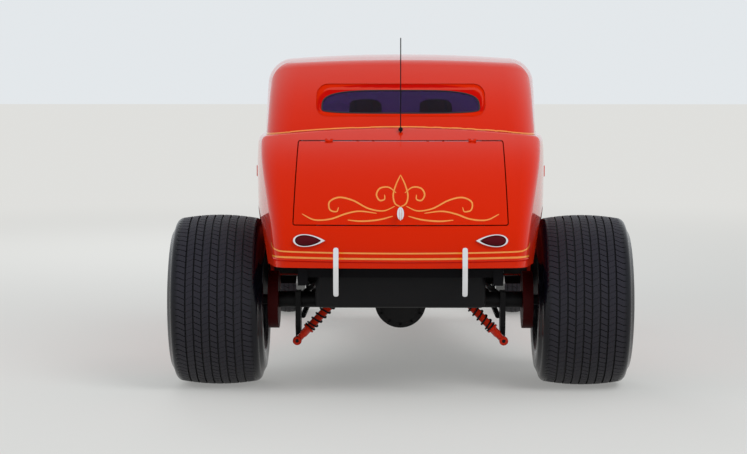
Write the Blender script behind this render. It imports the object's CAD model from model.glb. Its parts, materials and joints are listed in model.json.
# %% [markdown]
# # A fenderless hot-rod coupe
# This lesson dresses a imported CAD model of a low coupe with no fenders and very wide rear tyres. The CAD
# part already has every panel, axle and wheel in place, in metres, with the car standing on Z = 0 and
# pointing along +Y. Blender adds finishes and the fine surfaces that CAD leaves plain.

import bpy
import json
import math
import numpy as np
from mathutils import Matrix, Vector


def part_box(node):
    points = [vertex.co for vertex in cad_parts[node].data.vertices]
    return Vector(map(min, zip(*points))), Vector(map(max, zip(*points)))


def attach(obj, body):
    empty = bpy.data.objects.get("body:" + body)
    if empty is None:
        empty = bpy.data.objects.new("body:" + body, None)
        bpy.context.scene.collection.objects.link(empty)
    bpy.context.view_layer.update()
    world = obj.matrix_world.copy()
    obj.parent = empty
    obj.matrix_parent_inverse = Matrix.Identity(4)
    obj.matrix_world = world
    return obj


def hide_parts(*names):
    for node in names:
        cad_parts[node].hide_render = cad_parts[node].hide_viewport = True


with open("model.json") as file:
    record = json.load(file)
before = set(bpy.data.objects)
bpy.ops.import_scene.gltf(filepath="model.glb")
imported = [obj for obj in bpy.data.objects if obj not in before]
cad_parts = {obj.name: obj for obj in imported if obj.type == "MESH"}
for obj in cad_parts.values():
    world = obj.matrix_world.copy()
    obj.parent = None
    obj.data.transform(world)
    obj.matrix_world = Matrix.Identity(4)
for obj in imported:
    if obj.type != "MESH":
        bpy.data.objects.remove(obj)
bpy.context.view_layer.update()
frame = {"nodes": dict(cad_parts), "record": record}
nodes = frame["nodes"]
link = bpy.context.scene.collection.objects.link
SIDES = (("left", -1), ("right", 1))

# %% [markdown]
# ## Camera
# The photograph was taken from straight behind, at about the height of a standing person's eyes. The car
# stands a little right of the picture's centre. A long lens looks down on it by a few degrees, so that the
# eye level lies near the roof. Places along the car are stations, in metres ahead of the rear axle.


# %% Camera
_, AXLE_Y, AXLE_Z = [(low + high) / 2 for low, high in zip(*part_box("rim_rear_left"))]


def station(along):
    """Y of a place that many metres ahead of the rear axle."""
    return AXLE_Y + along


PHOTO_WIDTH = 747
EYE_HEIGHT = 1.611
EYE_DISTANCE = 10.0
FOCAL_PIXELS = 2030
SENSOR = 36.0
LOOK_DOWN = math.radians(4.76)
LOOK_LEFT = math.radians(0.765)

camera = bpy.data.objects.new("camera", bpy.data.cameras.new("camera"))
link(camera)
camera.location = (0.0, station(-EYE_DISTANCE), EYE_HEIGHT)
camera.rotation_euler = (math.pi / 2 - LOOK_DOWN, 0.0, LOOK_LEFT)
camera.data.sensor_width = SENSOR
camera.data.lens = FOCAL_PIXELS * SENSOR / PHOTO_WIDTH
bpy.context.scene.camera = camera
print("lens", round(camera.data.lens, 1), "mm")

# %% [markdown]
# ## Shader nodes
# Every material is a network of nodes. One helper makes a node and gives it its values, and two more stand
# for the commonest kinds, sums and noise.


# %% Node helpers
def feed(socket, value):
    """An input takes another node's output, a colour or a plain value."""
    if isinstance(value, bpy.types.NodeSocket):
        socket.id_data.links.new(value, socket)
    elif socket.type == "RGBA":
        socket.default_value = (*value, 1)
    else:
        socket.default_value = value


def node(tree, kind, *values, **named):
    """A new node. Named values are its properties or inputs, and the others feed its inputs in order."""
    made = tree.nodes.new(kind)
    for key, value in named.items():
        if hasattr(made, key):
            setattr(made, key, value)
        else:
            feed(made.inputs[key.replace("_", " ")], value)
    for socket, value in zip(made.inputs, values):
        feed(socket, value)
    return made


def maths(tree, operation, *values, clamp=False):
    return node(tree, "ShaderNodeMath", *values, operation=operation, use_clamp=clamp).outputs[0]


def noise(tree, vector, scale, detail=2.0, roughness=0.5):
    return node(tree, "ShaderNodeTexNoise", Vector=vector, Scale=scale, Detail=detail,
                Roughness=roughness).outputs["Fac"]


# %% [markdown]
# ## Floor and light
# A pale floor and soft lamps show the shapes plainly. Light Path tells what kind of ray meets the floor or
# the sky. The camera, mirrors and glass see a plain pale colour there. Only the other rays carry light.


# %% Floor, lamps and world
def seen_ray(tree):
    """1 for the camera's own rays and for those that gloss or glass sends on, else 0."""
    ray = node(tree, "ShaderNodeLightPath").outputs
    direct = maths(tree, "MAXIMUM", ray["Is Camera Ray"], ray["Is Glossy Ray"])
    return maths(tree, "MAXIMUM", direct, ray["Is Transmission Ray"])


def pale_ground(tree, colour, near_share, near, far):
    """A diffuse surface, of which a share looks plain pale to rays that are seen.

    Near the car the rest takes its shadow. The share grows to 1 between two distances from the origin.
    """
    place = node(tree, "ShaderNodeTexCoord").outputs["Object"]
    away = node(tree, "ShaderNodeVectorMath", operation="LENGTH", Vector=place).outputs["Value"]
    share = node(tree, "ShaderNodeMapRange", interpolation_type="SMOOTHSTEP", Value=away, From_Min=near,
                 From_Max=far, To_Min=near_share).outputs["Result"]
    mix = node(tree, "ShaderNodeMixShader", maths(tree, "MULTIPLY", seen_ray(tree), share),
               node(tree, "ShaderNodeBsdfDiffuse", Color=colour).outputs[0],
               node(tree, "ShaderNodeEmission", Color=colour).outputs[0])
    node(tree, "ShaderNodeOutputMaterial", Surface=mix.outputs[0])


def lamp(name, place, aim, size, power):
    """A soft rectangular lamp at a place, turned to face a point. Gloss doesn't mirror it."""
    data = bpy.data.lights.new(name, "AREA")
    data.shape = "RECTANGLE"
    data.size, data.size_y = size
    data.energy = power
    light = bpy.data.objects.new(name, data)
    light.location = place
    light.visible_glossy = False
    light.rotation_euler = (Vector(aim) - Vector(place)).to_track_quat("-Z", "Y").to_euler()
    link(light)


floor_material = bpy.data.materials.new("pale floor")
floor_material.use_nodes = True
floor_material.node_tree.nodes.clear()
pale_ground(floor_material.node_tree, (0.74, 0.74, 0.72), 0.35, 2.5, 12.0)
FLOOR = 60.0
FLOOR_Z = -0.001
floor_mesh = bpy.data.meshes.new("floor_plane")
floor_mesh.from_pydata([(-FLOOR, -FLOOR, FLOOR_Z), (FLOOR, -FLOOR, FLOOR_Z), (FLOOR, FLOOR, FLOOR_Z),
                        (-FLOOR, FLOOR, FLOOR_Z)], [], [(0, 1, 2, 3)])
floor_mesh.materials.append(floor_material)
floor_plane = bpy.data.objects.new("floor_plane", floor_mesh)
link(floor_plane)

SKY_LIGHT = 0.5
SKY_SEEN = 0.83
world = bpy.data.worlds.new("studio")
bpy.context.scene.world = world
world.use_nodes = True
sky = world.node_tree.nodes["Background"]
feed(sky.inputs["Color"], (0.93, 0.97, 1.0))
feed(sky.inputs["Strength"], node(world.node_tree, "ShaderNodeMapRange", Value=seen_ray(world.node_tree),
                                  To_Min=SKY_LIGHT, To_Max=SKY_SEEN).outputs["Result"])

lamp("key", (4.5, -6.5, 6.5), (0, -0.8, 0.8), (4.5, 4.5), 340)
lamp("fill", (-6.0, -3.0, 3.5), (0, -0.5, 0.8), (4.0, 3.0), 90)
lamp("front", (-2.5, 7.5, 5.0), (0, 1.0, 0.6), (4.0, 3.0), 220)
bpy.context.scene.view_settings.view_transform = "Standard"

# %% [markdown]
# ## Finishes
# Each finish is a Principled shader with its own small network. Effects that several finishes share are
# node groups built once: the waviness of sprayed paint, settled dust and fine scratches.


# %% Shared effects
def new_group(name, result, **more):
    """A shader node group with a Vector input, one result, and more inputs of numbers or vectors."""
    group = bpy.data.node_groups.new(name, "ShaderNodeTree")
    group.interface.new_socket("Vector", in_out="INPUT", socket_type="NodeSocketVector")
    for socket, value in more.items():
        kind = "NodeSocketFloat" if isinstance(value, float) else "NodeSocketVector"
        group.interface.new_socket(socket, in_out="INPUT", socket_type=kind).default_value = value
    group.interface.new_socket(result, in_out="OUTPUT", socket_type="NodeSocketFloat")
    return group, node(group, "NodeGroupInput").outputs, node(group, "NodeGroupOutput").inputs[result]


PEEL, given, result = new_group("sprayed waviness", "Height")
fine = maths(PEEL, "MULTIPLY", noise(PEEL, given["Vector"], 260.0, 1.0), 0.12)
feed(result, maths(PEEL, "ADD", fine, noise(PEEL, given["Vector"], 5.0)))

DUST, given, result = new_group("settled dust", "Mask", Low=0.0, High=0.5, Amount=0.5)
up = node(DUST, "ShaderNodeSeparateXYZ", Vector=given["Vector"]).outputs["Z"]
near_ground = node(DUST, "ShaderNodeMapRange", Value=up, From_Max=given["Low"],
                   From_Min=given["High"]).outputs["Result"]
patches = noise(DUST, given["Vector"], 9.0, 6.0, 0.7)
specks = maths(DUST, "ADD", noise(DUST, given["Vector"], 120.0, 3.0, 0.7), 0.4)
cloud = maths(DUST, "MULTIPLY", maths(DUST, "MULTIPLY", patches, specks), near_ground)
feed(result, maths(DUST, "MULTIPLY", cloud, given["Amount"], clamp=True))

SCRATCH, given, result = new_group("fine scratches", "Value", Stretch=(1.0, 1.0, 1.0))
stretched = node(SCRATCH, "ShaderNodeVectorMath", given["Vector"], given["Stretch"], operation="MULTIPLY")
feed(result, noise(SCRATCH, stretched.outputs[0], 1.0, 4.0, 0.65))
print("groups:", [group.name for group in bpy.data.node_groups])

# %% [markdown]
# A finish keeps its shader's inputs at hand, and the Object coordinates that its textures run on. Its
# methods lead a pattern to the colour, the roughness or the bump.

# %% Colours and the helper for finishes
RED = (0.71, 0.020, 0.0008)
BLACK = (0.004, 0.004, 0.005)
ORANGE = (0.93, 0.34, 0.03)
RUBBER = (0.0025, 0.0025, 0.006)
WORN_RUBBER = (0.013, 0.012, 0.020)
DEEP_RED = (0.56, 0.003, 0.001)
DULL_RED = (0.07, 0.002, 0.002)
DUST_COLOUR = (0.28, 0.24, 0.19)
CLOTH_BLACK = (0.022, 0.02, 0.019)
ENAMEL = (0.035, 0.035, 0.04)
ALUMINIUM = (0.78, 0.78, 0.8)
DIAL_IVORY = (0.62, 0.60, 0.54)


class Finish:
    """A material with a Principled shader and Object coordinates at hand."""

    def __init__(self, name, colour, roughness, **sockets):
        self.material = bpy.data.materials.new(name)
        self.material.use_nodes = True
        self.tree = self.material.node_tree
        self.inputs = self.tree.nodes["Principled BSDF"].inputs
        self.place = node(self.tree, "ShaderNodeTexCoord").outputs["Object"]
        for key, value in {"Base Color": colour, "Roughness": roughness, **sockets}.items():
            feed(self.inputs[key.replace("_", " ")], value)

    def group(self, tree_group, **values):
        made = node(self.tree, "ShaderNodeGroup", node_tree=tree_group, Vector=self.place, **values)
        return made.outputs[0]

    def noise(self, scale, detail=2.0):
        return noise(self.tree, self.place, scale, detail)

    def bands(self, direction, scale):
        made = node(self.tree, "ShaderNodeTexWave", wave_type="BANDS", bands_direction=direction,
                    Scale=scale, Vector=self.place)
        return made.outputs["Fac"]

    def mark(self, name):
        """A value that a piece's mesh carries at each point."""
        return node(self.tree, "ShaderNodeAttribute", attribute_name=name).outputs["Fac"]

    def bump(self, height, strength, distance):
        made = node(self.tree, "ShaderNodeBump", Strength=strength, Distance=distance, Height=height)
        feed(self.inputs["Normal"], made.outputs[0])

    def mix_colour(self, mask, first, second):
        """Base Color runs from one colour, or what is linked already, to another by a mask."""
        made = node(self.tree, "ShaderNodeMix", data_type="RGBA", Factor=mask, A=first, B=second)
        feed(self.inputs["Base Color"], made.outputs["Result"])
        return made.outputs["Result"]

    def dust(self, below, low, high, amount):
        """Dust over a colour: thick under one height and gone above another."""
        self.mix_colour(self.group(DUST, Low=low, High=high, Amount=amount), below, DUST_COLOUR)

    def vary_roughness(self, value, low, high):
        made = node(self.tree, "ShaderNodeMapRange", Value=value, To_Min=low, To_Max=high)
        feed(self.inputs["Roughness"], made.outputs["Result"])

    def inside_box(self, low, high):
        """1 where |x|, y and z lie between two corners, else 0. None leaves a side open."""
        x, y, z = node(self.tree, "ShaderNodeSeparateXYZ", Vector=self.place).outputs
        mask = None
        for value, above, under in zip((maths(self.tree, "ABSOLUTE", x), y, z), low, high):
            for operation, limit in (("GREATER_THAN", above), ("LESS_THAN", under)):
                if limit is not None:
                    test = maths(self.tree, operation, value, limit)
                    mask = test if mask is None else maths(self.tree, "MULTIPLY", mask, test)
        return mask

    def lacquer(self):
        """More of the lacquer's gloss where the surface is seen edge on than where it is seen straight."""
        facing = node(self.tree, "ShaderNodeLayerWeight", Blend=0.5).outputs["Facing"]
        made = node(self.tree, "ShaderNodeMapRange", interpolation_type="SMOOTHSTEP", Value=facing,
                    From_Max=0.6, To_Min=0.04, To_Max=1.0)
        feed(self.inputs["Coat Weight"], made.outputs["Result"])


# %% [markdown]
# ### Paint
# The body is a bright orange-red under clear lacquer. The colour coat is slightly rough, and the lacquer
# over it is smooth, with the slight waviness that sprayed paint has. The frame is sprayed red along its
# rails ahead of the cabin and on its outward faces beside it, and black elsewhere, so its finish mixes the
# two by place.

# %% Paint
paint = Finish("orange-red paint", RED, 0.45, Coat_Roughness=0.03, Coat_IOR=1.55, Specular_IOR_Level=0.04)
paint.lacquer()
paint.dust(RED, 0.45, 0.75, 0.10)
paint.bump(paint.group(PEEL), 0.05, 0.002)

rails = Finish("frame paint", BLACK, 0.45, Coat_Roughness=0.05, Coat_IOR=1.5, Specular_IOR_Level=0.04)
rails.lacquer()
ahead = rails.inside_box((0.30, station(1.30), None), (None, None, None))
beside = rails.inside_box((0.50, station(0.42), None), (None, None, None))
normal = node(rails.tree, "ShaderNodeNewGeometry").outputs["Normal"]
tilt = node(rails.tree, "ShaderNodeSeparateXYZ", Vector=normal).outputs[0]
side = maths(rails.tree, "SIGN", node(rails.tree, "ShaderNodeSeparateXYZ", Vector=rails.place).outputs[0])
outward = maths(rails.tree, "GREATER_THAN", maths(rails.tree, "MULTIPLY", tilt, side), 0.7)
mask = maths(rails.tree, "MAXIMUM", maths(rails.tree, "MULTIPLY", beside, outward), ahead)
rails.dust(rails.mix_colour(mask, BLACK, RED), 0.1, 0.6, 0.1)
rails.bump(rails.group(PEEL), 0.08, 0.002)

stripe = Finish("orange pinstripe", ORANGE, 0.3, Coat_Weight=1.0, Coat_Roughness=0.04)
stripe.mix_colour(stripe.noise(30.0), ORANGE, (0.86, 0.22, 0.012))

# %% [markdown]
# Inside the window's recess and in the tail's line little sky is mirrored, so the red looks deeper there. A
# mark on the recess tells what lies outside its arch and keeps the body's red. Dust dulls the drums.

# %% Deep and dull reds
deep = Finish("deep red", DEEP_RED, 0.6, Specular_IOR_Level=0.03)
deep.mix_colour(deep.mark("outside"), DEEP_RED, RED)
deep.bump(deep.group(PEEL), 0.05, 0.002)

drums = Finish("dull red", DULL_RED, 0.5, Specular_IOR_Level=0.1)
drums.mix_colour(drums.group(DUST, Low=0.1, High=0.9, Amount=0.3), DULL_RED, BLACK)


# %% Metal
def bright_metal(name, colour, roughness, stretch, low, high):
    """A metal whose roughness varies between two values along fine scratches."""
    metal = Finish(name, colour, roughness, Metallic=1.0)
    metal.vary_roughness(metal.group(SCRATCH, Stretch=stretch), low, high)
    return metal


def chassis_black():
    black = Finish("chassis black", BLACK, 0.45, Specular_IOR_Level=0.15)
    black.dust(BLACK, 0.1, 0.7, 0.05)
    black.bump(black.group(PEEL), 0.1, 0.002)
    return black


chrome = bright_metal("chrome", (0.83, 0.83, 0.85), 0.06, (60, 60, 60), 0.03, 0.12)
polished = bright_metal("polished aluminium", ALUMINIUM, 0.18, (400, 30, 30), 0.1, 0.3)
polished.dust(ALUMINIUM, 0.1, 0.6, 0.35)

iron = Finish("engine enamel", ENAMEL, 0.45)
iron.bump(iron.noise(60.0, 6.0), 0.3, 0.003)
iron.dust(ENAMEL, 0.3, 1.0, 0.5)

core = Finish("radiator core", (0.03, 0.03, 0.032), 0.5, Metallic=0.6)
fins = core.bands("Z", 120.0)
core.bump(fins, 0.9, 0.004)
core.mix_colour(fins, (0.012, 0.012, 0.013), (0.05, 0.05, 0.055))

# %% [markdown]
# ### Rubber, glass and trim
# Dressed rubber is glossy and black on a tyre's walls, dull on the tread, and worn paler on the ribs' faces.
# Two marks of the tyre's mesh tell which is which. Where a pane's alpha is under 1, that much less of the
# light is bent, so that lamps shine into the cabin.


# %% Rubber, glass and trim
def glass(name, colour, roughness, ior, alpha):
    return Finish(name, colour, roughness, Transmission_Weight=1.0, IOR=ior, Alpha=alpha)


rubber = Finish("dressed rubber", RUBBER, 0.4, Specular_IOR_Level=0.28)
tread = rubber.mark("tread")
base = rubber.mix_colour(rubber.mark("worn"), RUBBER, WORN_RUBBER)
dull = maths(rubber.tree, "ADD", maths(rubber.tree, "MULTIPLY", tread, 0.8), 0.2)
dusty = maths(rubber.tree, "MULTIPLY", rubber.group(DUST, Low=0.0, High=0.9, Amount=0.06), dull)
rubber.mix_colour(dusty, base, DUST_COLOUR)
scuffs = maths(rubber.tree, "MULTIPLY", rubber.noise(14.0, 4.0), 0.4)
wear = maths(rubber.tree, "ADD", scuffs, maths(rubber.tree, "MULTIPLY", tread, 0.6))
rubber.vary_roughness(wear, 0.12, 0.60)
rubber.bump(rubber.noise(700.0), 0.12, 0.0005)

lens_red = Finish("red lens", (0.085, 0.0006, 0.005), 0.15, Coat_Weight=0.15, Coat_Roughness=0.02,
                  Coat_IOR=1.4, Specular_IOR_Level=0.05)
lens_red.bump(lens_red.bands("X", 60.0), 0.4, 0.002)

leather = Finish("pale leather", (0.56, 0.53, 0.50), 0.5)
leather.mix_colour(leather.noise(6.0, 4.0), (0.60, 0.57, 0.54), (0.47, 0.44, 0.41))
cells = node(leather.tree, "ShaderNodeTexVoronoi", Scale=420.0, Vector=leather.place).outputs["Distance"]
leather.bump(cells, 0.25, 0.001)

trim = Finish("black trim", CLOTH_BLACK, 0.65)
trim.bump(trim.noise(500.0, 3.0), 0.3, 0.001)

seal = Finish("rubber seal", (0.012, 0.012, 0.013), 0.5)
seal.bump(seal.noise(300.0), 0.1, 0.0005)

ivory = Finish("dial face", DIAL_IVORY, 0.5)
ivory.mix_colour(ivory.noise(30.0, 3.0), DIAL_IVORY, (0.52, 0.49, 0.42))

carpet = Finish("carpet and cups", CLOTH_BLACK, 0.8)
cups = carpet.inside_box((0.59, station(-0.47), 0.60), (None, station(0.47), None))
carpet.mix_colour(cups, CLOTH_BLACK, RED)
carpet.bump(carpet.noise(500.0, 3.0), 0.3, 0.001)

# %% [markdown]
# Every slot has one finish. Four nodes have one of their own, such as the floor: its carpet is black, and
# red where its cups stand in the wheel openings.

# %% A finish for each node
FINISHES = {
    "body_paint": paint, "chrome_trim": chrome, "wheel_metal": polished, "chassis_black": chassis_black(),
    "tyre_rubber": rubber, "window_glass": glass("window glass", (0.12, 0.18, 0.26), 0.0, 1.25, 0.6),
    "lamp_glass": glass("lamp glass", (0.95, 0.97, 1.0), 0.02, 1.45, 1.0), "lamp_red": lens_red,
    "upholstery": leather, "cabin_trim": trim, "iron": iron, "core": core, "antenna_metal": chassis_black(),
}
OWN_FINISH = {"frame": rails, "floor": carpet, "rear_drums": drums,
              "rear_window": glass("rear glass", (0.07, 0.01, 0.15), 0.0, 1.25, 0.88)}
slot_of = {row["node"]: row["material_slot"] for row in frame["record"]["subparts"]}
for name, part in nodes.items():
    part.data.materials.clear()
    part.data.materials.append((OWN_FINISH.get(name) or FINISHES[slot_of[name]]).material)
print("finishes:", len(bpy.data.materials))

# %% [markdown]
# ## Surfaces from arrays
# Every new piece is one or more grids of points worked out with numpy. A grid is joined end to end along
# its rows or columns where the surface closes, and one helper makes an object of all the grids of a piece.


# %% Mesh helpers
def coordinates(mesh):
    """A mesh's points, one in each row."""
    flat = np.empty(len(mesh.vertices) * 3)
    mesh.vertices.foreach_get("co", flat)
    return flat.reshape(-1, 3)


def spread(x, y, z):
    """Points from three arrays of coordinates, which are brought to one shape."""
    return np.stack(np.broadcast_arrays(x, y, z), axis=-1)


def unit(vectors):
    return vectors / np.linalg.norm(vectors, axis=-1, keepdims=True)


def circle(steps):
    """Angles once round, the last a step short of the first."""
    return np.linspace(0, 2 * np.pi, steps, endpoint=False)


def superellipse(power, steps):
    """Coordinates from -1 to 1: a circle at power 2, and nearer a rectangle the higher the power."""
    turn = circle(steps)
    u = np.sign(np.cos(turn)) * np.abs(np.cos(turn)) ** (2 / power)
    v = np.sign(np.sin(turn)) * np.abs(np.sin(turn)) ** (2 / power)
    return u, v


def grid(points, close_rows=False, close_columns=True):
    """Points of shape (rows, columns, 3) as a list, and the quads that each join four neighbours."""
    rows, columns = points.shape[:2]
    row = np.arange(rows if close_rows else rows - 1)
    column = np.arange(columns if close_columns else columns - 1)
    row, column = [index.ravel() for index in np.meshgrid(row, column, indexing="ij")]
    below, beside = (row + 1) % rows, (column + 1) % columns
    quads = np.stack([row * columns + column, row * columns + beside, below * columns + beside,
                      below * columns + column], axis=1)
    return points.reshape(-1, 3), quads


def make_piece(name, grids, body, slot, finish=None, smooth=True):
    """An object from one or more grids that rides on a body, with its slot's finish or one of its own."""
    starts = np.cumsum([0] + [len(points) for points, _ in grids])
    mesh = bpy.data.meshes.new(name)
    mesh.from_pydata(np.concatenate([points for points, _ in grids]), [],
                     np.concatenate([quads + start for (_, quads), start in zip(grids, starts)]))
    mesh.update()
    mesh.polygons.foreach_set("use_smooth", np.array(np.broadcast_to(smooth, len(mesh.polygons))))
    mesh.materials.append((finish or FINISHES[slot]).material)
    piece = bpy.data.objects.new(name, mesh)
    link(piece)
    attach(piece, body)
    return piece


def mark(piece, name, values):
    """Writes a value at each of the piece's points, for its finish to read."""
    piece.data.attributes.new(name, "FLOAT", "POINT").data.foreach_set("value", np.ravel(values))


def wrapped(points, node_name, direction=None, offset=0.0006):
    """The points moved onto a node: along a direction such as "+Y", or to the nearest place on it.

    A Shrinkwrap modifier on a mesh of loose points does the work, and lifts them off it by the offset.
    """
    mesh = bpy.data.meshes.new("loose points")
    mesh.from_pydata(np.reshape(points, (-1, 3)), [], [])
    carrier = bpy.data.objects.new("loose points", mesh)
    link(carrier)
    wrap = carrier.modifiers.new("wrap", "SHRINKWRAP")
    wrap.target = nodes[node_name]
    wrap.wrap_mode = "ABOVE_SURFACE"
    wrap.offset = offset
    if direction:
        wrap.wrap_method = "PROJECT"
        setattr(wrap, f"use_project_{direction[1].lower()}", True)
        wrap.use_positive_direction = direction[0] == "+"
        wrap.use_negative_direction = direction[0] == "-"
    bpy.context.view_layer.update()
    moved = coordinates(carrier.evaluated_get(bpy.context.evaluated_depsgraph_get()).data)
    bpy.data.objects.remove(carrier)
    return moved.reshape(np.shape(points))


# %% [markdown]
# ## Tyres
# The rear tyres are nearly half a metre wide. Their tread is nine flat ribs with narrow grooves between
# them. Straight slanted cuts cross every other rib, and fine wavy ones the ribs between. The shoulders
# roll into bulging sidewalls that carry thin raised rings. Each tyre is one surface about its axle. Its
# rows stand exactly at the edges of the grooves, and its columns lean with the cuts, so that both stay
# crisp with few faces. The front tyres are made the same way with five ribs.


# %% Tyre section
GROOVE = 0.20                   # of a rib's pitch
GROOVE_WALL = 0.015             # of a rib's pitch
TREAD_SHARE = 0.375             # half the tread's width, of the tyre's width
SHOULDER_FADE = 0.012           # metres over which the cuts run out
EDGE_RADIUS = 0.965             # of the crown's radius, at the tread's edges
BEAD_RADIUS = 0.1905
WALL_TOP = 0.78                 # where the shoulder starts, of the wall's height
RINGS = (0.10, 0.30, 0.34, 0.64)
RING_HEIGHT, RING_WIDTH = 0.0022, 0.004
INSIDE_RIB = np.array([0.0, 0.16, 0.33, 0.5, 0.67, 0.84, 1.0])
CUT_EDGES = {"wide": [0.0, 0.02, 0.105, 0.125, 0.42, 0.72], "fine": [0.0, 0.012, 0.042, 0.054, 0.37, 0.69]}
CUT_MASK = np.array([0, 1, 1, 0, 0, 0])
WIDE_CUT, FINE_CUT = 0.8, 0.45  # of the tread's depth


def tread_rows(ribs):
    """Rows across the tread: place from 0 to ribs, rib number, place within the rib, and 1 in a groove."""
    rows = []
    for rib in range(ribs):
        low, high = rib + GROOVE / 2, rib + 1 - GROOVE / 2
        rows.extend((low + (high - low) * inside, rib, inside, 0) for inside in INSIDE_RIB)
        if rib < ribs - 1:
            rows.extend([(high + GROOVE_WALL, rib, 1.0, 1), (high + GROOVE - GROOVE_WALL, rib + 1, 0.0, 1)])
    return np.array(rows).T


def wall_rows(width, outer, tread_half):
    """Half a tyre's wall from bead to tread, as arrays of offset along the axle and radius.

    The wall's offset follows part of a sine arch, so it bulges to the full width at mid height. The
    shoulder is a quarter of an ellipse. A bell curve raises each ring.
    """
    wall = WALL_TOP * np.linspace(0, 1, 24)
    offset = width * (0.378 + 0.122 * np.sin(np.pi * wall))
    radius = BEAD_RADIUS + (outer - BEAD_RADIUS) * wall
    bend = np.linspace(0, np.pi / 2, 13)[1:-1]
    corner = tread_half + (offset[-1] - tread_half) * np.cos(bend)
    corner_radius = radius[-1] + (outer * EDGE_RADIUS - radius[-1]) * np.sin(bend)
    offset, radius = np.concatenate([offset, corner]), np.concatenate([radius, corner_radius])
    for share in RINGS:
        beyond = radius - BEAD_RADIUS - share * (outer - BEAD_RADIUS)
        offset += RING_HEIGHT * np.exp(-(beyond / RING_WIDTH) ** 2)
    return offset, radius


def cut_lean(number, inside):
    """How far a cut runs round the tyre, in blocks, as it crosses a rib: straight one way, wavy back."""
    wavy = 0.45 * (1 - inside) + 0.07 * np.sin(4 * np.pi * inside)
    return np.where(number % 2 == 0, 0.45 * inside, wavy)


# %% Tyres
TREADS = {"rear": (9, 0.010, 84), "front": (5, 0.007, 64)}     # ribs, depth, blocks
CORNERS = [(end, side) for end in TREADS for side, _ in SIDES]


def make_tyre(end, side):
    """A tyre about an axle along X: offset, radius and angle for each row and column of its surface."""
    name = f"{end}_{side}"
    low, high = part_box(f"tyre_{name}")
    centre, outer, width = (low + high) / 2, (high.z - low.z) / 2, high.x - low.x
    ribs, depth, blocks = TREADS[end]
    tread_half = width * TREAD_SHARE
    wall_offset, wall_radius = wall_rows(width, outer, tread_half)
    place, number, inside, groove = tread_rows(ribs)
    across = (place / ribs * 2 - 1) * tread_half
    crown = outer * (EDGE_RADIUS + (1 - EDGE_RADIUS) * (1 - (across / tread_half) ** 2))
    offset = np.concatenate([-wall_offset, across, wall_offset[::-1]])[:, None]
    radius = np.concatenate([wall_radius, crown, wall_radius[::-1]])[:, None]
    fade = np.clip(1 - (wall_offset - tread_half) / SHOULDER_FADE, 0, 1) * (wall_radius > outer * 0.9)
    none = np.zeros(len(fade))
    lean = cut_lean(number, inside)
    lean = np.concatenate([none, lean, none + lean[-1]])[:, None, None]
    share = np.where(number % 2 == 0, WIDE_CUT, FINE_CUT)
    share = np.concatenate([WIDE_CUT * fade, share, WIDE_CUT * fade[::-1]])[:, None]
    groove = np.concatenate([none, groove, none])[:, None]
    fine = np.concatenate([none, number % 2, none])[:, None]
    edges = np.where(fine > 0, CUT_EDGES["fine"], CUT_EDGES["wide"])[:, None]
    cut = np.tile(np.maximum(groove, share * CUT_MASK), (1, blocks))
    angle = (np.arange(blocks)[:, None] + edges + lean).reshape(cut.shape) * 2 * np.pi / blocks
    lift = radius - depth * cut
    points = spread(centre.x + offset, centre.y + lift * np.cos(angle), centre.z + lift * np.sin(angle))
    on_tread = np.concatenate([fade ** 2, 1 + 0 * across, fade[::-1] ** 2])[:, None]
    smooth = np.broadcast_to(on_tread[:-1] <= 0.01, (len(cut) - 1, cut.shape[1]))
    tyre = make_piece(f"tread_{name}", [grid(points)], f"wheel_{name}", "tyre_rubber",
                      smooth=smooth.ravel())
    mark(tyre, "tread", np.broadcast_to(on_tread, cut.shape))
    mark(tyre, "worn", on_tread * (1 - np.minimum(1, 1.3 * cut)))
    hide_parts(f"tyre_{name}")
    print(tyre.name, len(tyre.data.polygons), "faces")


for end, side in CORNERS:
    make_tyre(end, side)

# %% [markdown]
# ## Wheels
# The photograph hides the wheels' faces, so they get the five-spoke pattern that suits such cars. Each rim
# is one turned surface with a rolled lip and a stepped barrel. A spoke is a tube with a rounded rectangle
# for its section that narrows outwards, and a domed cap with lug nuts closes the hub.


# %% Wheel helpers
def turned(profile, centre, steps=96, axis=0, way=1):
    """A surface of revolution about an axle through centre: profile is rows of (offset, radius).

    The offsets run along the axis, or against it where way is -1.
    """
    offset, radius = (np.array(profile) * (way, 1)).T[..., None]
    turn = circle(steps)
    xyz = [offset, radius * np.cos(turn), radius * np.sin(turn)]
    return grid(spread(*xyz[-axis:], *xyz[:-axis]) + np.array(centre))


def rim_profile(half, dish):
    """From the rim's inner lip through the stepped barrel to its outer lip and back."""
    lip = BEAD_RADIUS + 0.0115
    return [(-half, lip), (-half - 0.001, lip - 0.004), (-half, lip - 0.012), (-half + 0.012, 0.184),
            (-half + 0.03, 0.180), (-half * 0.3, 0.176), (dish - 0.03, 0.176), (dish, 0.178),
            (half - 0.035, 0.180), (half - 0.012, 0.186), (half - 0.002, lip - 0.012),
            (half + 0.001, lip - 0.004), (half, lip), (half - 0.005, lip - 0.001),
            (half - 0.006, BEAD_RADIUS), (-half + 0.006, BEAD_RADIUS), (-half + 0.005, lip - 0.001),
            (-half, lip)]


def spoke(way, dish, angle):
    """A spoke's closed tube: a rounded rectangle that runs outwards, narrows, and sinks towards the rim."""
    u, v = superellipse(4.0, 20)
    run = np.linspace(0, 1, 14)[:, None]
    reach = 0.045 + (0.179 - 0.045) * run
    sideways = (0.033 - 0.010 * np.sin(np.pi * run * 0.9) + 0.004 * run) * u
    offset = dish + 0.014 - 0.022 * run ** 2 + (0.013 - 0.004 * run) * v
    return spread(way * offset, reach * np.sin(angle) + sideways * np.cos(angle),
                  reach * np.cos(angle) - sideways * np.sin(angle))


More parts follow.
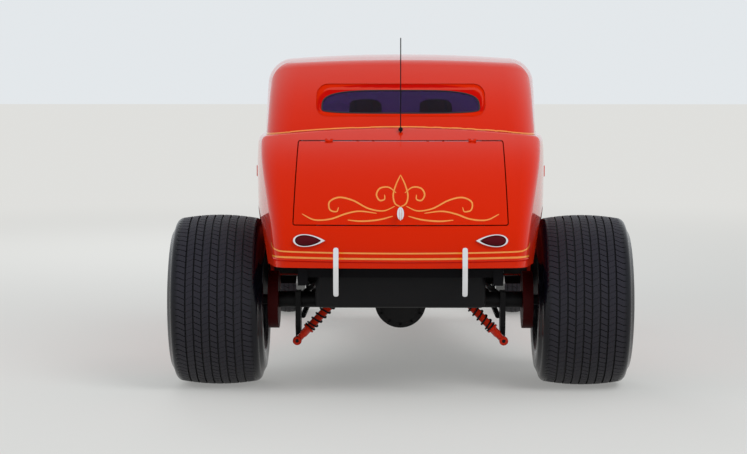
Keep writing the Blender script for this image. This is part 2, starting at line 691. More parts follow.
# %% Wheels
WHEELS = {"rear": (0.1795, 0.062), "front": (0.0765, 0.030)}   # half the width, and how deep the spokes lie
HUB = [(-0.03, 0.0255), (-0.03, 0.055), (0.012, 0.058), (0.020, 0.053), (0.022, 0.040), (0.030, 0.034),
       (0.034, 0.020), (0.035, 0.0)]
NUT = [(0.019, 0.0), (0.019, 0.0095), (0.034, 0.0095), (0.038, 0.007), (0.039, 0.0)]
NUT_CIRCLE = 0.046
SPOKES = 5


def make_wheel(end, side):
    name, body, way = f"{end}_{side}", f"wheel_{end}_{side}", dict(SIDES)[side]
    low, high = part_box(f"rim_{name}")
    centre = (low + high) / 2
    half, depth = WHEELS[end]
    dish = half - depth
    hub, nut = np.array(HUB) + (dish, 0), np.array(NUT) + (dish, 0)
    spokes, nuts = [], []
    for angle in circle(SPOKES):
        spokes.append(grid(spoke(way, dish, angle + math.pi / SPOKES) + np.array(centre)))
        place = (centre.x, centre.y + NUT_CIRCLE * math.sin(angle), centre.z + NUT_CIRCLE * math.cos(angle))
        nuts.append(turned(nut, place, 6, way=way))
    wheel = make_piece(f"wheel_{name}_rim", [turned(rim_profile(half, dish), centre, way=way), *spokes,
                                             turned(hub, centre, way=way)], body, "wheel_metal")
    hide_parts(f"rim_{name}")
    make_piece(f"wheel_{name}_nuts", nuts, body, "chrome_trim")


for end, side in CORNERS:
    make_wheel(end, side)
print("wheels made")

# %% [markdown]
# ## Coil springs
# A red coil-over leans inwards from each end of the rear axle. Its body is a straight tube whose radius
# changes along it, with an eye at its foot. The spring round it is a helix with a round wire, whose ends lie
# flat against the collars.


# %% Tubes
def circles(along, across, steps):
    """A circle of unit vectors about each unit vector in along, starting at the one in across."""
    turn = circle(steps)[:, None]
    return across[:, None] * np.cos(turn) + np.cross(across, along)[:, None] * np.sin(turn)


def tube(path, radius, steps=12):
    """A round tube along a path, whose radius may change along it. Its ends are drawn to a point."""
    path = np.asarray(path, dtype=float)
    along = unit(np.gradient(path, axis=0))
    up = np.where(np.abs(along[:, 2:]) > 0.9, [0.0, 1.0, 0.0], [0.0, 0.0, 1.0])
    radius = np.broadcast_to(radius, len(path))[:, None, None]
    points = path[:, None] + radius * circles(along, unit(np.cross(along, up)), steps)
    first, last = [np.broadcast_to(end, (1, steps, 3)) for end in (path[0], path[-1])]
    return grid(np.concatenate([first, points, last]))


# %% Coil springs
SHOCK_FOOT, SHOCK_HEAD = (0.505, 0.232), (0.185, 0.574)        # X and Z
SHOCK_Y = station(-0.135)
SHOCK = [(0.0, 0.016), (0.035, 0.016), (0.045, 0.0195), (0.075, 0.0195), (0.078, 0.0285), (0.086, 0.0285),
         (0.089, 0.0195), (0.25, 0.0195), (0.255, 0.009), (0.34, 0.009), (0.345, 0.028), (0.355, 0.028),
         (0.36, 0.014)]
COIL_START, COIL_END = 0.091, 0.341
COIL_RADIUS, WIRE_RADIUS = 0.0245, 0.0044
COIL_TURNS = 9.5
EYE = [(-0.022, 0.0088), (-0.022, 0.020), (-0.018, 0.022), (0.018, 0.022), (0.022, 0.020), (0.022, 0.0088),
       (-0.022, 0.0088)]


def helix(start, end, radius, turns, steps):
    """Points of a helix about the line from start to end. Its first and last tenth are wound closer."""
    axis = unit(end - start)
    side = unit(np.cross(axis, [0.0, 1.0, 0.0]))
    share = np.linspace(0, 1, steps)
    rise = np.interp(share, [0, 0.1, 0.9, 1], [0, 0.04, 0.96, 1])
    angle = 2 * np.pi * turns * share
    return (start + np.outer(rise, end - start) + radius * np.outer(np.cos(angle), side)
            + radius * np.outer(np.sin(angle), np.cross(axis, side)))


for side, sign in SIDES:
    low, high = [np.array([sign * x, SHOCK_Y, z]) for x, z in (SHOCK_FOOT, SHOCK_HEAD)]
    axis = unit(high - low)
    along, radius = np.array(SHOCK + [(np.linalg.norm(high - low), 0.014)]).T
    shock = make_piece(f"coilover_{side}_body", [tube(low + np.outer(along, axis), radius, 20),
                                                 turned(EYE, low, 32, 1)], "chassis", "body_paint")
    if side == "left":          # one piece is enough to stand for the node of both
        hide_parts("rear_coilovers")
    path = helix(low + axis * COIL_START, low + axis * COIL_END, COIL_RADIUS, COIL_TURNS, 380)
    spring = make_piece(f"coilover_{side}_spring", [tube(path, WIRE_RADIUS, 8)], "chassis", "chassis_black")
    print(spring.name, len(spring.data.polygons), "faces")

# %% [markdown]
# ## Pinstripes
# Thin orange-yellow lines are brushed on by hand: one in the crease under the roof, two low across the
# tail, and a scroll on the decklid. Each is a flat ribbon that swells and thins like a brush stroke, moved
# onto the panel that it belongs to and lifted a hair above the paint.


# %% Stripes across the tail
TAIL_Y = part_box("body_rear")[0].y - 0.02
BRUSH_WIDTH = 0.0075


def mirrored(half, middle):
    """Pairs symmetric about X = 0: the left ones, the middle, and the right ones that are given."""
    return [(-x, value) for x, value in half] + [(0.0, middle)] + half[::-1]


def smooth_curve(points, steps):
    """A Catmull-Rom curve: each run is a cubic whose slope at a point spans the point's neighbours."""
    points = np.asarray(points, dtype=float)
    padded = np.concatenate([2 * points[:1] - points[1:2], points, 2 * points[-1:] - points[-2:-1]])
    where = np.linspace(0, len(points) - 1 - 1e-9, steps)
    index = where.astype(int)
    t = (where - index)[:, None]
    a, b, c, d = (padded[index + shift] for shift in range(4))
    bend = (2 * a - 5 * b + 4 * c - d) * t ** 2 + (3 * b - a - 3 * c + d) * t ** 3
    return 0.5 * (2 * b + (c - a) * t + bend)


def tail_stripe(name, points, width, steps, thin_ends=True, panel="body_rear", body="chassis",
                finish=stripe):
    """A stroke through points given as (x, z), laid on a panel from behind."""
    path = smooth_curve([(x, TAIL_Y, z) for x, z in points], steps)
    if thin_ends:
        width = width * (0.25 + 0.75 * np.sin(np.pi * np.linspace(0, 1, steps)[:, None]) ** 0.35)
    beside = unit(np.cross(np.gradient(path, axis=0), [0.0, 1.0, 0.0])) * width / 2
    ribbon = np.stack([path + beside * share for share in (-1, -0.33, 0.33, 1)])
    make_piece(name, [grid(wrapped(ribbon, panel, "+Y"), close_columns=False)], body, "body_paint", finish)


upper_line = mirrored([(0.604, 0.752), (0.598, 0.734), (0.578, 0.722), (0.53, 0.7155), (0.3, 0.7115)], 0.710)
tail_stripe("stripe_tail_upper", upper_line, BRUSH_WIDTH, 200)
lower_line = mirrored([(0.60, 0.690), (0.3, 0.6855)], 0.684)
tail_stripe("stripe_tail_lower", lower_line, 0.009, 160, thin_ends=False)

# %% [markdown]
# The scroll on the decklid is a traditional one: mirrored strokes about the handle, of our own drawing.

# %% Scroll on the decklid
SCROLL = [
    [(0.0, 1.066), (0.022, 1.020), (0.034, 0.975), (0.026, 0.938), (0.0, 0.922)],
    [(0.020, 0.985), (0.055, 1.010), (0.095, 1.006), (0.112, 0.978), (0.098, 0.952), (0.075, 0.956),
     (0.074, 0.977)],
    [(0.026, 0.925), (0.080, 0.904), (0.150, 0.915), (0.220, 0.950), (0.285, 0.964), (0.330, 0.944),
     (0.328, 0.908), (0.297, 0.900), (0.288, 0.920)],
    [(0.110, 0.893), (0.190, 0.902), (0.255, 0.890), (0.325, 0.866), (0.400, 0.862), (0.458, 0.888)],
    [(0.036, 0.880), (0.100, 0.864), (0.180, 0.857), (0.245, 0.862)],
]
for index, stroke in enumerate(SCROLL):
    for side, sign in SIDES:
        tail_stripe(f"scroll_{index}_{side}", [(sign * x, z) for x, z in stroke], BRUSH_WIDTH, 90,
                    panel="decklid", body="decklid")

# %% [markdown]
# The stripe under the roof runs just above the crease between roof and belt. Its path starts outside the
# roof and is pulled to the nearest place on it. The belt's height there gives the stripe's height, and
# each of its rows is then moved onto the wall.

# %% Stripe above the crease
BELT_CROWN = 1.278
BELT_FALL = 0.054 / 0.78 ** 2   # of the belt's height, for each square metre of X
BELT_STRIPE = np.linspace(0.0015, 0.0095, 4)    # heights of its rows above the belt
INWARD = {"left": "+X", "right": "-X"}


def crease_stripe(name, path, panel, body, direction=None):
    """A ribbon that stands on a wall: rows at heights above the belt, each moved onto the wall."""
    x, y, _ = path.T
    rows = spread(x, y, BELT_CROWN - BELT_FALL * x ** 2 + BELT_STRIPE[:, None])
    rows = wrapped(rows, panel, direction)
    make_piece(name, [grid(rows, close_columns=False)], body, "body_paint", stripe)


ring = mirrored([(0.760, 0.476), (0.765, 0.25), (0.745, 0.02), (0.680, -0.20), (0.530, -0.34),
                 (0.27, -0.385)], -0.395)
ring = smooth_curve([(x, station(along), 1.265) for x, along in ring], 260)
crease_stripe("stripe_belt", wrapped(ring, "roof", None, 0.004), "roof", "chassis")
for side, sign in SIDES:
    start = spread(sign * 0.80, station(np.linspace(0.489, 1.25, 60)[::sign]), 1.258)
    hugging = wrapped(start, f"door_{side}", INWARD[side], 0.020)
    crease_stripe(f"stripe_belt_door_{side}", hugging, f"door_{side}", f"door_{side}", INWARD[side])

# %% [markdown]
# ## Beads and seals
# A raised bead runs across the tail under the lower stripe. Black rubber seals hold the panes. All of them
# are round tubes that are sunk by half, carried along a path that lies on the panel or the pane.


# %% Bead and outlines
def rounded_outline(corners, radius, steps=8):
    """A closed outline: each corner is a parabola between the points that lie the radius away from it."""
    corners = np.array(corners)
    start = corners + radius * unit(np.roll(corners, 1, axis=0) - corners)
    end = corners + radius * unit(np.roll(corners, -1, axis=0) - corners)
    t = np.linspace(0, 1, steps)[:, None]
    arcs = (1 - t) ** 2 * start[:, None] + 2 * t * (1 - t) * corners[:, None] + t ** 2 * end[:, None]
    return arcs.reshape(-1, 2)


def evenly(outline, steps):
    """The closed outline with its points spread evenly along it."""
    closed = np.concatenate([outline, outline[:1]])
    length = np.concatenate([[0], np.cumsum(np.linalg.norm(np.diff(closed, axis=0), axis=1))])
    where = np.linspace(0, length[-1], steps, endpoint=False)
    return np.stack([np.interp(where, length, column) for column in closed.T], axis=1)


def loop_tube(path, radius, steps=10):
    """A round tube along a closed path, whose ring of points turns with the path."""
    along = unit(np.roll(path, -1, axis=0) - np.roll(path, 1, axis=0))
    across = unit(np.cross(along, path - path.mean(axis=0)))
    return grid(path[:, None] + radius * circles(along, across, steps), close_rows=True)


BEAD_DROP, BEAD_LINE_DROP = 0.0115, 0.0172      # of the bead and its shadow line, under the lower stripe
bead = smooth_curve([(x, TAIL_Y, z - BEAD_DROP) for x, z in lower_line], 160)
make_piece("tail_bead", [tube(wrapped(bead, "body_rear", "+Y", 0.0), 0.0042, 10)], "chassis", "body_paint")
tail_stripe("tail_bead_line", [(x, z - BEAD_LINE_DROP) for x, z in lower_line], 0.004, 160,
            thin_ends=False, finish=deep)

# %% [markdown]
# The rear glass lies in a recess that slopes in from the roof. The slope runs from a rounded rectangle on
# the roof to the pane's own outline. Inside an arch round the glass it is deep red.

# %% Rear window
INSET = 0.003                   # of every seal from its pane's edge
PANE_HALF_WIDTH = 0.381         # of the glass that the slope leaves open
PANE_FOOT = 0.022               # height of its lower corners' curve
PANE_POWER = 3.6
ARCH_HALF_WIDTH = 0.399         # of the deep red band round the glass
ARCH_RISE = 0.028               # height of the band over the glass
RECESS_CORNERS = [(-0.409, 1.3305), (0.409, 1.3305), (0.409, 1.4845), (-0.409, 1.4845)]
RECESS_RADIUS = 0.060
SLOPE_POINTS = 240

low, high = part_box("rear_window")
foot, top = low.z + INSET + PANE_FOOT, high.z - INSET
u, v = superellipse(PANE_POWER, 720)
pane = np.stack([PANE_HALF_WIDTH * u, foot + v * np.where(v > 0, top - foot, PANE_FOOT)], axis=1)
pane = evenly(pane, SLOPE_POINTS)
path = wrapped(spread(pane[:, 0], low.y - 0.1, pane[:, 1]), "rear_window", "+Y", 0.001)
make_piece("seal_rear_window", [loop_tube(path, 0.0036)], "chassis", "cabin_trim", seal)
outer = evenly(rounded_outline(RECESS_CORNERS, RECESS_RADIUS), SLOPE_POINTS)
inner = np.roll(pane, -int(np.argmin(np.hypot(*(pane - outer[0]).T))), axis=0)
outer = wrapped(spread(outer[:, 0], TAIL_Y, outer[:, 1]), "roof", "+Y", 0.001)
inner = wrapped(spread(inner[:, 0], TAIL_Y, inner[:, 1]), "rear_window", "+Y", 0.0015)
share = np.linspace(0, 1, 17)[:, None, None]
slope = (outer * (1 - share) + inner * share)[:, ::-1]
reveal = make_piece("rear_window_reveal", [grid(slope)], "chassis", "body_paint", deep)
rise = np.where(slope[..., 2] > foot, top - foot + ARCH_RISE, PANE_FOOT)
reach = (np.abs(slope[..., 0] / ARCH_HALF_WIDTH) ** PANE_POWER
         + np.abs((slope[..., 2] - foot) / rise) ** PANE_POWER)
mark(reveal, "outside", np.clip((reach - 1) / 0.1, 0, 1))
print("slope spans Y", np.round([outer[:, 1].min(), inner[:, 1].max()], 3))

# %% Door seals
for side, sign in SIDES:
    low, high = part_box(f"door_glass_{side}")
    slant = 0.4 * (high.z - low.z)
    corners = [(low.y + INSET, low.z + INSET), (high.y - INSET, low.z + INSET),
               (high.y - slant - INSET, high.z - INSET), (low.y + INSET, high.z - INSET)]
    y, z = evenly(rounded_outline(corners, 0.022), 200).T
    path = wrapped(spread(sign * 0.9, y, z), f"door_glass_{side}", INWARD[side], 0.001)
    make_piece(f"seal_door_{side}", [loop_tube(path, 0.0040)], f"door_{side}", "cabin_trim", seal)

# %% [markdown]
# ## Tail lamps
# Each lamp is an almond: round outboard and drawn to a point inboard. A chromed rim with a domed section
# frames a dark red lens. The almond's half height at a share s of its length from the point is
# proportional to s to the power 0.9, times the square root of 1 - s.

# %% Tail lamps
LAMP_X, LAMP_Z = 0.467, 0.768
LAMP_POINT, LAMP_ROUND = -0.119, 0.032
LAMP_HEIGHT = 0.030
LAMP_STEPS = 96
ALMOND_PEAK = 0.4015            # largest value of s ** 0.9 * sqrt(1 - s)
LENS_SCALE = 0.78
RIM_SCALES = [1.0, 1.02, 1.0, 0.95, 0.88, 0.82, 0.78, 0.76]
RIM_LIFTS = [0.0, 0.006, 0.010, 0.0135, 0.0145, 0.013, 0.010, 0.0]


def almonds(sign, scales, lifts):
    """Almonds of several sizes about one centre, laid on the tail and lifted off it, one row for each."""
    turn = circle(LAMP_STEPS)
    share = (1 - np.cos(turn)) / 2
    x = LAMP_POINT + (LAMP_ROUND - LAMP_POINT) * share
    z = np.sign(np.sin(turn)) * LAMP_HEIGHT * share ** 0.9 * np.sqrt(1 - share) / ALMOND_PEAK
    centre, scales = LAMP_POINT * 0.18, np.array(scales)[:, None]
    flat = spread(sign * (LAMP_X + centre + (x - centre) * scales), TAIL_Y, LAMP_Z + z * scales)
    rows = wrapped(flat, "body_rear", "+Y", 0.0)
    rows[..., 1] -= np.array(lifts)[:, None]
    return grid(rows[:, ::-sign])


share = np.linspace(1, 0, 12)
dome = 0.006 + 0.014 * np.sqrt(1 - share ** 2)
for side, sign in SIDES:
    rim = make_piece(f"lamp_rim_{side}", [almonds(sign, RIM_SCALES, RIM_LIFTS)], "chassis", "chrome_trim")
    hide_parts("taillight_bezels")
    lens = make_piece(f"lamp_lens_{side}", [almonds(sign, LENS_SCALE * share + 1e-4, dome)], "chassis",
                      "lamp_red")
    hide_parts("taillight_lenses")
print("lamps:", LAMP_STEPS, "points around")

# %% [markdown]
# ## Bumper bars and handle
# Two upright chromed bars stand clear of the tail. Each is a rounded flat bar whose ends close like a
# superellipse. The decklid's handle is a small upright grip on an oval plate.


# %% Bumper bars
def capsule(centre, half, power, corner, rows=40, columns=32):
    """A rounded bar along Z: each row is a superellipse that shrinks by (1 - |s| ** power) ** 0.5."""
    share = np.sin(np.linspace(-np.pi / 2, np.pi / 2, rows))[:, None]
    size = np.sqrt(np.clip(1 - np.abs(share) ** power, 0, 1))
    u, v = superellipse(corner, columns)
    x, y, z = centre
    return spread(x + half[0] * size * u, y + half[1] * size * v, z + half[2] * share)


low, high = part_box("bumper_bars")
middle_z, half_height = (low.z + high.z) / 2, (high.z - low.z) / 2
BAR_X, STEM_Z = 0.295, 0.600
BAR_BOW = 0.012
bars = []
for _, sign in SIDES:
    points = capsule((sign * BAR_X, low.y + 0.0085, middle_z), (0.0130, 0.0075, half_height), 30.0, 2.6)
    points[..., 1] += BAR_BOW * ((points[..., 2] - middle_z) / half_height) ** 2
    stem = spread(sign * BAR_X, np.array([low.y + 0.020, high.y - 0.03, high.y]), STEM_Z)
    bars.extend([grid(points), tube(stem, [0.011, 0.011, 0.014], 20)])
bars = make_piece("bumper_bars_chromed", bars, "chassis", "chrome_trim")
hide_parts("bumper_bars")

# %% Decklid handle
low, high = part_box("decklid_handle")
middle_z = (low.z + high.z) / 2
turn = circle(48)
scales = np.array([1.0, 1.0, 0.93, 0.75, 0.4, 1e-3])[:, None]
plate = spread(0.0165 * scales * np.cos(turn), TAIL_Y, middle_z + 0.030 * scales * np.sin(turn))
plate = wrapped(plate, "decklid", "+Y", 0.0)
plate[..., 1] -= np.array([0.0, 0.003, 0.005, 0.0062, 0.007, 0.007])[:, None]
neck = [(low.y + 0.004, 0.0), (low.y + 0.004, 0.006), (low.y + 0.02, 0.0055), (high.y - 0.004, 0.009),
        (high.y, 0.010)]
grip = capsule((0, low.y + 0.0085, middle_z), (0.0068, 0.0080, 0.0295), 3.0, 2.4)
neck = turned(neck, (0, 0, middle_z), 24, 1)
handle = make_piece("decklid_handle_chromed", [grid(plate), neck, grid(grip)], "decklid", "chrome_trim")
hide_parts("decklid_handle")
print("handle:", len(handle.data.polygons), "faces")

# %% [markdown]
# ## Hood louvres
# Two rows of pressed louvres run along each side of the hood. Each is a scoop that rises from the metal in
# front and stands open behind, over a slot that the CAD panel already has. Each side has one mesh of them.

# %% Hood louvres
HOOD_REAR, HOOD_FRONT, HOOD_FOOT = 1.805, 2.800, 0.5003
LOUVRES = 20
LOUVRE_PITCH = 0.860 / (LOUVRES - 1)
LOUVRE_RAMP = np.array([0.021, 0.013, 0.005, -0.003, -0.0055, -0.0045, 0.003, 0.012, 0.021])
LOUVRE_RISE = np.array([0.0, 0.45, 0.85, 1.0, 0.96, 0.84, 0.80, 0.32, -0.10])


def hood_half_width(along, height):
    """Half the hood's width: its side is a plane between four known corners."""
    share = (along - HOOD_REAR) / (HOOD_FRONT - HOOD_REAR)
    foot, shoulder = 0.391 + (0.222 - 0.391) * share, 0.423 + (0.234 - 0.423) * share
    shoulder_height = 1.138 + (1.078 - 1.138) * share
    return foot + (shoulder - foot) * (height - HOOD_FOOT) / (shoulder_height - HOOD_FOOT)


def louvre(sign, along, height):
    """A scoop's skin: along the scoop a sine, across it a ramp out and a short lip back."""
    share = np.linspace(0, 1, 15)
    lift = 0.0005 + 0.010 * LOUVRE_RISE[::sign, None] * np.sin(np.pi * share) ** 0.4
    along = along + LOUVRE_RAMP[::sign, None]
    height = height + 0.183 * share
    return grid(spread(sign * (hood_half_width(along, height) + lift), station(along), height),
                close_columns=False)


for side, sign in SIDES:
    scoops = [louvre(sign, 1.880 + column * LOUVRE_PITCH, 0.556 + 0.225 * row)
              for row in range(2) for column in range(LOUVRES)]
    piece = make_piece(f"louvres_{side}", scoops, "chassis", "body_paint")
    print(piece.name, len(piece.data.polygons), "faces")

# %% [markdown]
# ## Headlamps
# Each lamp's bowl comes from the frame. A glass lens with pressed upright flutes bulges from it inside a
# rolled chrome rim. The lens rises as one minus the square of its radius, and a cosine across it makes the
# flutes.

# %% Headlamps
LENS_RADIUS = 0.083
LENS_EDGE, LENS_BULGE = 0.009, 0.017
FLUTE_PITCH, FLUTE_DEPTH = 0.0105, 0.0007
HEADLAMP_RIM = [(0.001, 0.0822), (0.010, 0.0822), (0.0135, 0.084), (0.0145, 0.088), (0.0125, 0.092),
                (0.008, 0.0945), (0.002, 0.0945), (-0.004, 0.0925)]
low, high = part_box("headlight_lenses")
share = np.concatenate([[1.0], np.linspace(1.0, 0.0, 44)])[:, None]
turn = circle(120)
across, up = LENS_RADIUS * share * np.cos(turn), LENS_RADIUS * share * np.sin(turn)
flute = FLUTE_DEPTH * np.cos(2 * np.pi * across / FLUTE_PITCH) * (1 - share ** 6)
rise = LENS_EDGE + LENS_BULGE * (1 - share ** 2) + flute
rise[0] = 0.0005
bulge = spread(-across, rise, up)
for side, sign in SIDES:
    centre = (sign * (high.x - 0.084), low.y, (low.z + high.z) / 2)
    lens = make_piece(f"headlamp_lens_{side}", [grid(bulge + np.array(centre))], "chassis", "lamp_glass")
    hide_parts("headlight_lenses")
    make_piece(f"headlamp_rim_{side}", [turned(HEADLAMP_RIM, centre, axis=1)], "chassis", "chrome_trim")
print("headlamps at height", round(centre[2], 3))

# %% [markdown]
# ## Seat
# The bench has a cushion and a leaning back, both padded and sewn in upright channels, and two headrests
# on chromed posts. Padding bulges because its cover holds it in, so Cloth with pressure blows up a
# slightly smaller shape, and each point's move is held to a cap. The sewn channels are pressed in
# afterwards: across a channel the depth falls off like a bell curve.

# %% Padding
PRESSURE = 4.0
CLOTH_STEPS = 20
CHANNEL_PITCH, CHANNEL_DEPTH, CHANNEL_WIDTH = 0.062, 0.007, 0.0065
SEWN_HALF_WIDTH = 0.45
LEAN = 0.225                    # of the back, metres rearwards for each metre up


def baked(piece):
    """The piece's mesh with its modifiers applied."""
    bpy.context.view_layer.update()
    mesh = bpy.data.meshes.new_from_object(piece.evaluated_get(bpy.context.evaluated_depsgraph_get()))
    piece.modifiers.clear()
    piece.data = mesh


def blown_up(piece, voxel, cap):
    """Remeshed evenly and blown up; no point moves further than the cap. Then divided once."""
    even = piece.modifiers.new("even", "REMESH")
    even.mode, even.voxel_size = "VOXEL", voxel
    baked(piece)
    start = coordinates(piece.data)
    cloth = piece.modifiers.new("padding", "CLOTH")
    cloth.settings.use_pressure = True
    cloth.settings.uniform_pressure_force = PRESSURE
    cloth.settings.effector_weights.gravity = 0.0
    for step in range(1, CLOTH_STEPS + 1):
        bpy.context.scene.frame_set(step)
    move = coordinates(piece.evaluated_get(bpy.context.evaluated_depsgraph_get()).data) - start
    piece.modifiers.clear()
    bpy.context.scene.frame_set(1)
    length = np.linalg.norm(move, axis=1, keepdims=True)
    held = start + move * np.minimum(1.0, cap / np.maximum(length, 1e-9))
    piece.data.vertices.foreach_set("co", held.ravel())
    finer = piece.modifiers.new("finer", "SUBSURF")
    finer.levels = finer.render_levels = 1
    baked(piece)
    piece.data.polygons.foreach_set("use_smooth", np.ones(len(piece.data.polygons), dtype=bool))


def sewn(piece, outward):
    """Channels across X pressed into the side that faces outward, fading towards the cushion's border."""
    mesh = piece.data
    points = coordinates(mesh)
    normals = np.empty(len(mesh.vertices) * 3)
    mesh.vertices.foreach_get("normal", normals)
    facing = np.clip(normals.reshape(-1, 3) @ np.array(outward), 0, 1) ** 2
    offset = points[:, 0] / CHANNEL_PITCH
    beside = (offset - np.round(offset)) * CHANNEL_PITCH
    edge = np.clip((SEWN_HALF_WIDTH - np.abs(points[:, 0])) / 0.02, 0, 1)
    press = CHANNEL_DEPTH * np.exp(-(beside / CHANNEL_WIDTH) ** 2) * facing * edge
    points -= press[:, None] * np.array(outward)
    mesh.vertices.foreach_set("co", points.ravel())
    mesh.update()


def leaning(points, centre):
    """Points about the origin turned about X, so that their Z axis leans back with the seat, and moved."""
    angle = math.atan(LEAN)
    x, y, z = np.moveaxis(points, -1, 0)
    return spread(centre[0] + x, centre[1] + y * math.cos(angle) - z * math.sin(angle),
                  centre[2] + y * math.sin(angle) + z * math.cos(angle))


# %% Seat and headrests
CUSHION_CENTRE, CUSHION_HALF = (0, station(0.822), 0.578), (0.462, 0.195, 0.052)
BACK_CENTRE, BACK_HALF = (0, station(0.532), 0.868), (0.462, 0.030, 0.292)
cushion = capsule(CUSHION_CENTRE, CUSHION_HALF, 5.0, 6.0, 40, 72)
back = leaning(capsule((0, 0, 0), BACK_HALF, 14.0, 5.0, 60, 80), BACK_CENTRE)
for name, points, outward in (("seat_cushion", cushion, (0, 0, 1)), ("seat_back", back, (0, 0.975, 0.22))):
    pad = make_piece(name, [grid(points)], "chassis", "upholstery")
    blown_up(pad, 0.012, 0.022)
    sewn(pad, outward)
    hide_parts("seat")
    print(name, len(pad.data.polygons), "faces")

HEADREST_X, HEADREST_Z = 0.18, 1.352
HEADREST_HALF = (0.085, 0.026, 0.050)
POST_FOOT_Z, POST_LENGTH = 1.13, 0.2
for side, sign in SIDES:
    rest = leaning(capsule((0, 0, 0), HEADREST_HALF, 4.0, 3.5, 30, 40),
                   (sign * HEADREST_X, station(0.425), HEADREST_Z))
    rest = make_piece(f"headrest_{side}", [grid(rest)], "chassis", "upholstery")
    blown_up(rest, 0.010, 0.010)
    posts = []
    for shift in (-0.04, 0.04):
        foot = np.array([sign * HEADREST_X + shift, station(0.475), POST_FOOT_Z])
        post = np.array([0, -LEAN * POST_LENGTH, POST_LENGTH])
        posts.append(tube(foot + np.linspace(0, 1, 6)[:, None] * post, 0.0055))
    make_piece(f"headrest_posts_{side}", posts, "chassis", "chrome_trim")

# %% [markdown]
# ## Dials
# Two large dials and three small ones sit in the dashboard. Each has a chromed ring, a pale face and a
# pointer.

# %% Dials
DIALS = ((-0.40, 0.046), (-0.27, 0.046), (-0.17, 0.027), (-0.09, 0.027), (-0.01, 0.027))     # X and radius
DIAL_Y, DIAL_Z = station(1.348), 1.205
rings, faces, pointers = [], [], []
for x, radius in DIALS:
    place = (x, DIAL_Y, DIAL_Z)
    ring = [(0.001, radius), (-0.006, radius), (-0.009, radius - 0.002), (-0.008, radius - 0.005),
            (-0.002, radius - 0.006)]
    rings.append(turned(ring, place, 48, 1))
    face = [(-0.0005, radius - 0.004), (-0.0025, radius - 0.004), (-0.0025, 0.0)]
    faces.append(turned(face, place, 48, 1))
    tip = np.array([0.55, 0.0, 0.75]) * (radius - 0.010)
    start = np.array(place) - [0, 0.0045, 0]
    pointers.append(tube(start + np.linspace(-0.2, 1, 5)[:, None] * tip, [0.0014] * 4 + [0.0005], 8))
make_piece("dial_rings", rings, "chassis", "chrome_trim")
make_piece("dial_faces", faces, "chassis", "cabin_trim", ivory)
make_piece("dial_pointers", pointers, "chassis", "chassis_black")
print("dials:", len(DIALS))

# %% [markdown]
# ## Door handles and closing panels
# A chromed lever stands at each door's front edge, since the doors hinge at the rear. A small plate fills
# the door's corner under its window, and a skirt closes the wedge between the cowl and the frame rail.
# Both follow the panel beside them: its outline is read once and carried along with the body's taper.


# %% Door handles and closing panels
BODY_TAPER = 0.25               # of the door's half width, for each metre ahead
OUTSIDE_X = 0.9
DOOR_EDGE = 1.215               # station ahead of which the door has no upper corner
CORNER_TOP, CORNER_ENDS = 1.2485, (1.217, 1.3205)
SKIRT_FOOT, SKIRT_TOP, SKIRT_ENDS = 0.5008, 0.556, (1.393, 1.800)
SKIRT_SLANT = 0.1               # of the skirt's half width, for each metre down
HANDLE_ALONG, HANDLE_Z = 1.195, 1.085
HANDLE_PLATE = [(-0.001, 0.0), (-0.001, 0.017), (0.003, 0.0165), (0.006, 0.012), (0.007, 0.0)]
LEVER = [(0, 0, 0), (0.018, 0, 0), (0.032, -0.012, 0.001), (0.034, -0.045, 0.001), (0.031, -0.085, -0.002),
         (0.029, -0.105, -0.006)]


def skin(name, sign, out, along, height, body):
    """A thin panel from half widths, places along the car and heights, thickened inwards."""
    points = spread(sign * out, station(along), height[:, None])[:, ::sign]
    piece = make_piece(name, [grid(points, close_columns=False)], body, "body_paint")
    wall = piece.modifiers.new("wall", "SOLIDIFY")
    wall.thickness = 0.003
    wall.offset = -1.0
    baked(piece)


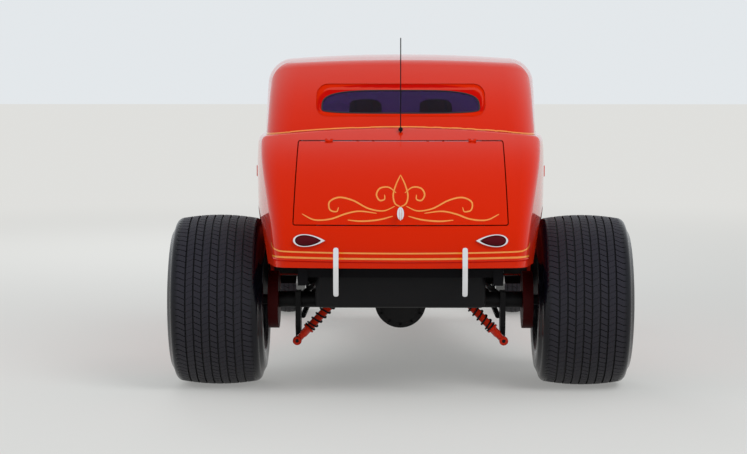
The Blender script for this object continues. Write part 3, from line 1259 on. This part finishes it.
for side, sign in SIDES:
    door, inward = f"door_{side}", INWARD[side]
    height = np.append(np.linspace(1.150, 1.2475, 34), 1.262)
    outline = wrapped(spread(sign * OUTSIDE_X, station(DOOR_EDGE), height), door, inward, 0.0008)
    half = np.abs(outline[:, 0])
    met = half < 0.7
    half = np.interp(height, height[met], half[met])[:, None]
    height[-1] = CORNER_TOP
    along = np.linspace(*CORNER_ENDS, 14)
    skin(f"door_corner_{side}", sign, half - BODY_TAPER * (along - DOOR_EDGE), along, height, door)

    along = np.linspace(*SKIRT_ENDS, 40)
    top = wrapped(spread(sign * OUTSIDE_X, station(along), SKIRT_TOP), "cowl", inward)
    height = np.linspace(SKIRT_FOOT, SKIRT_TOP, 8)
    out = np.abs(top[:, 0]) - SKIRT_SLANT * (SKIRT_TOP - height)[:, None]
    skin(f"cowl_skirt_{side}", sign, out, along, height, "chassis")

    foot = wrapped([(sign * OUTSIDE_X, station(HANDLE_ALONG), HANDLE_Z)], door, inward, 0.0)
    path = smooth_curve(foot + np.array(LEVER) * (sign, 1, 1), 40)
    radius = np.interp(np.linspace(0, 1, 40), [0, 0.3, 0.6, 1], [0.0062, 0.007, 0.0085, 0.006])
    make_piece(f"door_handle_{side}", [turned(HANDLE_PLATE[::sign], foot[0], 40, way=sign),
                                       tube(path, radius, 16)], door, "chrome_trim")
print("closing panels and handles made")

# %% [markdown]
# ## Differential cover
# The axle's centre ends in a pressed cover, domed to the rear, with a flat flange and a ring of bolts.

# %% Differential cover
COVER_Y = station(-0.120)
COVER = [(-0.042, 0.0), (-0.041, 0.035), (-0.036, 0.066), (-0.026, 0.088), (-0.010, 0.100), (-0.006, 0.104),
         (-0.006, 0.122), (-0.004, 0.1255), (0.003, 0.1255)]
BOLT = [(-0.012, 0.0), (-0.0118, 0.006), (-0.006, 0.0065)]
BOLT_CIRCLE = 0.113
BOLTS = 12
parts = [turned(COVER, (0, COVER_Y, AXLE_Z), 64, 1)]
for angle in circle(BOLTS):
    place = (BOLT_CIRCLE * math.cos(angle), COVER_Y, AXLE_Z + BOLT_CIRCLE * math.sin(angle))
    parts.append(turned(BOLT, place, 6, 1))
make_piece("differential_cover", parts, "chassis", "chassis_black")
